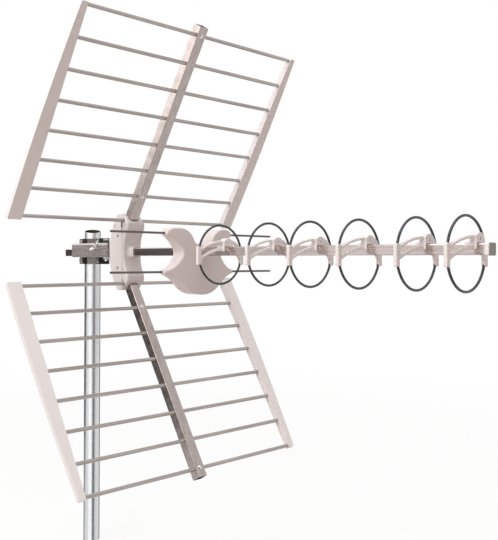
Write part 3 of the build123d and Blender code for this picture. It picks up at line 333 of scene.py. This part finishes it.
def galvanised_steel():
    """Patches of zinc, and dull rust wherever the tube's axis is nearer than BORE_EDGE."""
    material, tree, shader = start_material("galvanised_steel")
    place = tree.nodes.new("ShaderNodeTexCoord")
    flowers = tree.nodes.new("ShaderNodeTexVoronoi")
    flowers.inputs["Scale"].default_value = SPANGLE_PER_METRE
    tree.links.new(place.outputs["Object"], flowers.inputs["Vector"])
    grey = tree.nodes.new("ShaderNodeSeparateColor")
    tree.links.new(flowers.outputs["Color"], grey.inputs["Color"])
    patch = tree.nodes.new("ShaderNodeMix")
    patch.data_type = "RGBA"
    patch.inputs["A"].default_value = ZINC_DULL
    patch.inputs["B"].default_value = ZINC_BRIGHT
    tree.links.new(grey.outputs["Red"], patch.inputs["Factor"])
    across = tree.nodes.new("ShaderNodeVectorMath")
    across.operation = "MULTIPLY"
    across.inputs[1].default_value = (1, 1, 0)
    tree.links.new(place.outputs["Object"], across.inputs[0])
    reach = tree.nodes.new("ShaderNodeVectorMath")
    reach.operation = "LENGTH"
    tree.links.new(across.outputs["Vector"], reach.inputs[0])
    inside = tree.nodes.new("ShaderNodeMath")
    inside.operation = "LESS_THAN"
    inside.inputs[1].default_value = BORE_EDGE
    tree.links.new(reach.outputs["Value"], inside.inputs[0])
    bore = tree.nodes.new("ShaderNodeMix")
    bore.data_type = "RGBA"
    bore.inputs["B"].default_value = RUSTY_BORE
    tree.links.new(inside.outputs[0], bore.inputs["Factor"])
    tree.links.new(patch.outputs["Result"], bore.inputs["A"])
    tree.links.new(bore.outputs["Result"], shader.inputs["Base Color"])
    bare = tree.nodes.new("ShaderNodeMath")
    bare.operation = "SUBTRACT"
    bare.inputs[0].default_value = 1.0
    tree.links.new(inside.outputs[0], bare.inputs[1])
    tree.links.new(bare.outputs[0], shader.inputs["Metallic"])
    tree.links.new(bare.outputs[0], shader.inputs["Specular IOR Level"])
    along = place_group(tree, drawn_lines, Stretch=MAST_LINES_PER_METRE)
    tree.links.new(remap(tree, grey.outputs["Green"], *MAST_ROUGHNESS), shader.inputs["Roughness"])
    emboss(tree, shader, along.outputs["Lines"], MAST_LINE_DEPTH)
    return material


coat_node("mast", galvanised_steel())

# The boom, a square aluminium tube pressed from a billet, dulled by weather. Moulded
# stoppers close both ends: a dark plug pushed in behind, and a grey cap in front, with a
# white collar round the tube just behind it.
BOOM_METAL = (0.60, 0.525, 0.505, 1)
BOOM_WORN = (0.52, 0.445, 0.425, 1)
STREAKS = (0.55, 1.45)
LINE_DEPTH = 0.00003

PLUG_BLACK = (0.030, 0.028, 0.028, 1)
PLUG_WORN = (0.05, 0.047, 0.047, 1)
COLLAR_WHITE = (0.88, 0.85, 0.84, 1)
COLLAR_SHADE = (0.83, 0.79, 0.78, 1)
CAP_GREY = (0.26, 0.25, 0.23, 1)
CAP_PALE = (0.36, 0.35, 0.325, 1)
GRAIN_PER_METRE = 900.0
GRAIN_DEPTH = 0.00002
ROUGHNESS_SPREAD = 0.06
PLASTIC_SPECULAR = 0.4


def bare_metal(name, colour, worn, stretch, roughness, metallic=0.75):
    """Metal with the fine lines of its die or roller and a tone that drifts. Stretch is
    how many lines there are to the metre in each direction."""
    material, tree, shader = start_material(name)
    drift = place_group(tree, tone_drift, Colour=colour, Other=worn, Scale=9.0, Bite=0.9)
    along = place_group(tree, drawn_lines, Stretch=stretch)
    streaks = tree.nodes.new("ShaderNodeVectorMath")
    streaks.operation = "SCALE"
    tree.links.new(drift.outputs["Colour"], streaks.inputs[0])
    tree.links.new(remap(tree, along.outputs["Lines"], *STREAKS), streaks.inputs["Scale"])
    tree.links.new(streaks.outputs["Vector"], shader.inputs["Base Color"])
    tree.links.new(remap(tree, along.outputs["Lines"], *roughness), shader.inputs["Roughness"])
    emboss(tree, shader, along.outputs["Lines"], LINE_DEPTH)
    shader.inputs["Metallic"].default_value = metallic
    return material


def moulded(name, colour, other, roughness=0.42):
    """Injection-moulded plastic: a fine spark-eroded grain and a slow change of tone."""
    material, tree, shader = start_material(name)
    drift = place_group(tree, tone_drift, Colour=colour, Other=other, Scale=7.0, Bite=0.8)
    tree.links.new(drift.outputs["Colour"], shader.inputs["Base Color"])
    fine = place_group(tree, drawn_lines, Stretch=(GRAIN_PER_METRE,) * 3, Detail=2.0)
    low = roughness - ROUGHNESS_SPREAD
    high = roughness + ROUGHNESS_SPREAD
    tree.links.new(remap(tree, drift.outputs["Mask"], low, high), shader.inputs["Roughness"])
    emboss(tree, shader, fine.outputs["Lines"], GRAIN_DEPTH)
    shader.inputs["Specular IOR Level"].default_value = PLASTIC_SPECULAR
    return material


boom_metal = bare_metal(
    "boom_aluminium",
    BOOM_METAL,
    BOOM_WORN,
    stretch=(6, 420, 420),
    roughness=(0.10, 0.22),
    metallic=0.95,
)
coat_node("boom", boom_metal)
coat_node("boom_rear_plug", moulded("plug_plastic", PLUG_BLACK, PLUG_WORN, roughness=0.5))
coat_node("front_collar", moulded("collar_plastic", COLLAR_WHITE, COLLAR_SHADE))
coat_node("boom_front_cap", moulded("cap_plastic", CAP_GREY, CAP_PALE, roughness=0.45))

# The support housing, two white shells moulded in weatherproof plastic and screwed
# together round the boom. They grip the feet of both spines. The mould leaves round edges
# on the front one, but hardly any at the seam where it meets the rear one.
HOUSING_WHITE = (0.755, 0.72, 0.715, 1)
HOUSING_SHADE = (0.705, 0.665, 0.66, 1)
SHELL_GRID = 0.0012
SHELL_ROUNDING = 24
SHELL_SEAM = 0.183
SEAM_SHARE = 0.12


def eased(name, grid, passes, material, seam=None):
    """The solid once more, with its edges rounded by that many passes over an even grid.
    Where x is under the seam's, the rounding is slight."""
    piece = bpy.data.objects.new(name + "_eased", nodes[name].data.copy())
    bpy.context.scene.collection.objects.link(piece)
    skin = piece.modifiers.new("even_skin", "REMESH")
    skin.mode = "VOXEL"
    skin.voxel_size = grid
    skin.use_smooth_shade = True
    seen = piece.evaluated_get(bpy.context.evaluated_depsgraph_get())
    piece.data = bpy.data.meshes.new_from_object(seen)
    piece.modifiers.clear()
    piece.data.materials.clear()
    piece.data.materials.append(material)
    rounding = piece.modifiers.new("mould_round", "SMOOTH")
    rounding.factor = 0.5
    rounding.iterations = passes
    if seam is not None:
        group = piece.vertex_groups.new(name="rounded")
        for corner in piece.data.vertices:
            group.add([corner.index], 1.0 if corner.co.x > seam else SEAM_SHARE, "REPLACE")
        rounding.vertex_group = group.name
    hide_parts(name)
    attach(piece, "root")


housing_plastic = moulded("housing_plastic", HOUSING_WHITE, HOUSING_SHADE, roughness=0.38)
eased(
    "support_front_shell",
    SHELL_GRID,
    SHELL_ROUNDING,
    housing_plastic,
    seam=SHELL_SEAM,
)
coat_node("support_rear_shell", housing_plastic)

# The spines, two square aluminium tubes that stand out from the housing at the angle
# of the reflector, each drilled for eight rods and riveted near both of its ends.
SPINE_METAL = (0.47, 0.405, 0.38, 1)
SPINE_WORN = (0.36, 0.31, 0.29, 1)

spine_metal = bare_metal(
    "spine_aluminium",
    SPINE_METAL,
    SPINE_WORN,
    stretch=(60, 420, 60),
    roughness=(0.16, 0.30),
    metallic=0.9,
)
coat_node("upper_spine", spine_metal)
coat_node("lower_spine", spine_metal)

# The fasteners, all of steel with bright zinc on it: rivets that pin the spines, screws
# that cut their own thread in the housings, and the clamp's bolts and nuts.
FASTENER_METAL = (0.78, 0.77, 0.76, 1)
FASTENER_DULL = (0.58, 0.56, 0.55, 1)
FASTENERS = (
    "spine_rivets",
    "housing_screws",
    "clamp_bolts",
    "clamp_nuts",
    "lock_bolt",
    "wing_bolt",
    "wing_nut",
)

fastener_steel = bare_metal(
    "bright_zinc",
    FASTENER_METAL,
    FASTENER_DULL,
    stretch=(300, 300, 300),
    roughness=(0.22, 0.40),
    metallic=0.9,
)
for name in FASTENERS:
    coat_node(name, fastener_steel)

# The reflector rods, sixteen drawn aluminium tubes that pass through the spines and
# end in the side strips.
ROD_METAL = (0.45, 0.405, 0.38, 1)
ROD_WORN = (0.35, 0.312, 0.292, 1)

rod_metal = bare_metal(
    "rod_aluminium",
    ROD_METAL,
    ROD_WORN,
    stretch=(420, 8, 420),
    roughness=(0.22, 0.38),
)
for name in nodes:
    if name.startswith(("upper_rod_", "lower_rod_")):
        coat_node(name, rod_metal)

# The side strips, four long tapered channels moulded in the housing's plastic, with a
# socket inside for each rod's end.
STRIP_WHITE = (0.88, 0.855, 0.85, 1)
STRIP_SHADE = (0.84, 0.81, 0.805, 1)

strip_plastic = moulded("strip_plastic", STRIP_WHITE, STRIP_SHADE, roughness=0.40)
for name in nodes:
    if "_strip_" in name:
        coat_node(name, strip_plastic)

# The dipole, four thin dark rods that stand out of a crowned housing of two greyish
# shells, screwed together. They hold a board with the printed matching line, and a
# plated brass socket for the cable.
CASE_WHITE = (0.77, 0.715, 0.705, 1)
CASE_SHADE = (0.70, 0.64, 0.63, 1)
DIPOLE_METAL = (0.115, 0.095, 0.093, 1)
DIPOLE_WORN = (0.16, 0.14, 0.135, 1)
BOARD_GREEN = (0.035, 0.14, 0.06, 1)
BOARD_PALE = (0.05, 0.18, 0.08, 1)
BRASS = (0.66, 0.50, 0.22, 1)
BRASS_WORN = (0.58, 0.44, 0.2, 1)

# The front shell in millimetres: the place of its parting and its middle in the frame,
# then its outline across and up, from the boom's passage round one lobe and its tip,
# through the scoop to the lower tip and the belly.
MM = 0.001
CASE_PARTING = 379.0
CASE_SIDE = -30.6
CASE_AXIS = 632.0
CASE_PASSAGE = ((0.0, -8.2), (8.2, -8.2), (8.2, 11.6))
CASE_LOBE = ((20.0, 16.5), (31.0, 34.0), (57.0, 42.5), (69.5, 41.5), (79.0, 37.5))
CASE_SCOOP = (
    (81.0, 29.5),
    (66.0, 21.5),
    (52.0, 8.0),
    (47.0, -2.6),
    (52.0, -14.0),
    (67.0, -28.0),
    (84.5, -34.0),
)
CASE_BELLY = ((86.0, -40.5), (66.0, -47.0), (48.0, -57.83), (24.66, -74.56), (0.0, -79.5))

# The crown of its face and the round at the face's edge, then how finely they are made:
# the step along the outline, the rings in the round, the strips across the crown. Edges
# that turn by more than the crease, in degrees, stay sharp, and the least mitre limits how
# far a sharp corner is set in.
CASE_CROWN = 16.5
CASE_CROWN_R = 357.5
CASE_ROUND = 3.3
CASE_STEP = 1.6
CASE_TURNS = 6
CASE_STRIP = 5.0
CASE_CREASE = 38.0
LEAST_MITRE = 0.5


def arc_through(first, middle, last, step):
    """Points along the arc through three points, the last left out."""
    (ax, ay), (bx, by), (cx, cy) = first, middle, last
    twice = 2 * (ax * (by - cy) + bx * (cy - ay) + cx * (ay - by))
    a2, b2, c2 = ax * ax + ay * ay, bx * bx + by * by, cx * cx + cy * cy
    centre_x = a2 * (by - cy) + b2 * (cy - ay) + c2 * (ay - by)
    centre_y = a2 * (cx - bx) + b2 * (ax - cx) + c2 * (bx - ax)
    centre = Vector((centre_x, centre_y)) / twice
    radius = (Vector(first) - centre).length
    turn = [atan2(y - centre.y, x - centre.x) for x, y in (first, middle, last)]
    sweep = (turn[2] - turn[0]) % tau
    if (turn[1] - turn[0]) % tau > sweep:
        sweep -= tau
    count = max(2, round(abs(sweep) * radius / step))
    angles = [turn[0] + sweep * i / count for i in range(count)]
    return [Vector((centre.x + radius * cos(a), centre.y + radius * sin(a))) for a in angles]


def arcs_along(points, step):
    """Arcs end to end through each next three of the points, with the last point."""
    line = []
    for first, middle, last in zip(points[::2], points[1::2], points[2::2]):
        line += arc_through(first, middle, last, step)
    return line + [Vector(points[-1])]


def set_in(outline, amount):
    """The closed outline, counter-clockwise, moved inwards by that amount."""
    befores = outline[-1:] + outline[:-1]
    afters = outline[1:] + outline[:1]
    moved = []
    for before, here, after in zip(befores, outline, afters):
        ways = [(here - before).normalized(), (after - here).normalized()]
        inwards = [Vector((-way.y, way.x)) for way in ways]
        middle = (inwards[0] + inwards[1]).normalized()
        moved.append(here + middle * amount / max(LEAST_MITRE, middle.dot(inwards[0])))
    return moved


def case_front():
    """The front shell: a wall, a round all along its edge and a crowned face."""
    half = [Vector(point) for point in CASE_PASSAGE]
    half += arcs_along(CASE_LOBE, CASE_STEP)
    half += arcs_along(CASE_SCOOP, CASE_STEP)
    half += arcs_along(CASE_BELLY, CASE_STEP)
    outline = half + [Vector((-point.x, point.y)) for point in half[-2:0:-1]]
    outline.reverse()

    def crown(across):
        return CASE_CROWN - CASE_CROWN_R + sqrt(CASE_CROWN_R ** 2 - across ** 2)

    def place(forward, point):
        return MM * Vector((CASE_PARTING + forward, CASE_SIDE + point.x, CASE_AXIS + point.y))

    shape = bmesh.new()
    loops = [[shape.verts.new(place(0, point)) for point in outline]]
    for turn in range(CASE_TURNS + 1):
        angle = radians(90) * turn / CASE_TURNS
        ring = set_in(outline, CASE_ROUND * (1 - cos(angle)))
        drop = CASE_ROUND * (1 - sin(angle))
        loops.append([shape.verts.new(place(crown(point.x) - drop, point)) for point in ring])
    count = len(outline)
    for outer, inner in zip(loops, loops[1:]):
        for i in range(count):
            j = (i + 1) % count
            shape.faces.new((outer[i], outer[j], inner[j], inner[i]))
    shape.faces.new(list(reversed(loops[0])))
    face = shape.faces.new(loops[-1])
    face.normal_update()
    flat = bmesh.ops.triangulate(shape, faces=[face], ngon_method="EAR_CLIP")["faces"]
    reach = max(point.x for point in outline)
    cuts = int(reach / CASE_STRIP)
    for cut in range(-cuts, cuts + 1):
        edges = {edge for part in flat for edge in part.edges}
        corners = {corner for part in flat for corner in part.verts}
        split = bmesh.ops.bisect_plane(
            shape,
            geom=[*flat, *edges, *corners],
            plane_co=(0, MM * (CASE_SIDE + CASE_STRIP * cut), 0),
            plane_no=(0, 1, 0),
        )
        flat = [part for part in split["geom"] if isinstance(part, bmesh.types.BMFace)]
    for part in flat:
        for corner in part.verts:
            corner.co.x = MM * (CASE_PARTING + crown(corner.co.y / MM - CASE_SIDE))
    mesh = bpy.data.meshes.new("dipole_front")
    shape.normal_update()
    shape.to_mesh(mesh)
    shape.free()
    for part in mesh.polygons:
        part.use_smooth = True
    mesh.set_sharp_from_angle(angle=radians(CASE_CREASE))
    piece = bpy.data.objects.new("dipole_front", mesh)
    bpy.context.scene.collection.objects.link(piece)
    return piece


case_plastic = moulded("case_plastic", CASE_WHITE, CASE_SHADE, roughness=0.36)
coat_node("dipole_rear_shell", case_plastic)
dipole_front = case_front()
dipole_front.data.materials.append(case_plastic)
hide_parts("dipole_front_shell")
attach(dipole_front, "root")

dipole_metal = bare_metal(
    "dipole_metal",
    DIPOLE_METAL,
    DIPOLE_WORN,
    stretch=(420, 10, 420),
    roughness=(0.28, 0.42),
)
for name in nodes:
    if name.startswith("dipole_rod_"):
        coat_node(name, dipole_metal)

coat_node("balun_board", moulded("board_laminate", BOARD_GREEN, BOARD_PALE, roughness=0.3))
plated_brass = bare_metal(
    "plated_brass",
    BRASS,
    BRASS_WORN,
    stretch=(200, 200, 200),
    roughness=(0.2, 0.35),
)
coat_node("coax_socket", plated_brass)

# The directors, six rings bent from dark drawn wire, each held in a white
# moulded bridge that clips over the boom and reaches to the ring's near and far side.
RING_METAL = (0.060, 0.068, 0.068, 1)
RING_DULL = (0.038, 0.044, 0.044, 1)
BRIDGE_WHITE = (0.88, 0.85, 0.84, 1)
BRIDGE_SHADE = (0.80, 0.75, 0.73, 1)
BRIDGE_GRID = 0.0008
BRIDGE_ROUNDING = 7

ring_metal = bare_metal(
    "ring_metal",
    RING_METAL,
    RING_DULL,
    stretch=(160, 160, 160),
    roughness=(0.16, 0.28),
    metallic=0.5,
)
bridge_plastic = moulded("bridge_plastic", BRIDGE_WHITE, BRIDGE_SHADE, roughness=0.36)
for name in list(nodes):
    if name.startswith("ring_holder_"):
        eased(name, BRIDGE_GRID, BRIDGE_ROUNDING, bridge_plastic)
    elif name.startswith("ring_"):
        coat_node(name, ring_metal)

# The mast clamp, three plates of zinc-plated steel, folded and bolted together. A dull
# cradle holds the boom's tail by a bolt with two moulded spacers, and two smooth jaws
# grip the mast; their bright zinc is painted near-black, a painted dark reflection.
CRADLE_ZINC = (0.50, 0.46, 0.44, 1)
CRADLE_DULL = (0.38, 0.34, 0.32, 1)
# Painted dark reflection: the jaws' bright zinc is given these near-black colours.
JAW_PAINTED_DARK = (0.15, 0.132, 0.125, 1)
JAW_PAINTED_DARK_WORN = (0.10, 0.088, 0.083, 1)

dull_plate = bare_metal(
    "dull_plate",
    CRADLE_ZINC,
    CRADLE_DULL,
    stretch=(120, 120, 120),
    roughness=(0.26, 0.42),
    metallic=0.72,
)
# The jaws' material, its colours painted near-black as a painted dark reflection.
jaw_plate_painted_dark = bare_metal(
    "jaw_plate_painted_dark",
    JAW_PAINTED_DARK,
    JAW_PAINTED_DARK_WORN,
    stretch=(120, 120, 120),
    roughness=(0.14, 0.30),
    metallic=0.95,
)
coat_node("clamp_cradle", dull_plate)
coat_node("saddle_plate", jaw_plate_painted_dark)
coat_node("rear_jaw", jaw_plate_painted_dark)
coat_node("lock_spacers", moulded("spacer_plastic", PLUG_BLACK, PLUG_WORN, roughness=0.45))

bpy.context.view_layer.update()
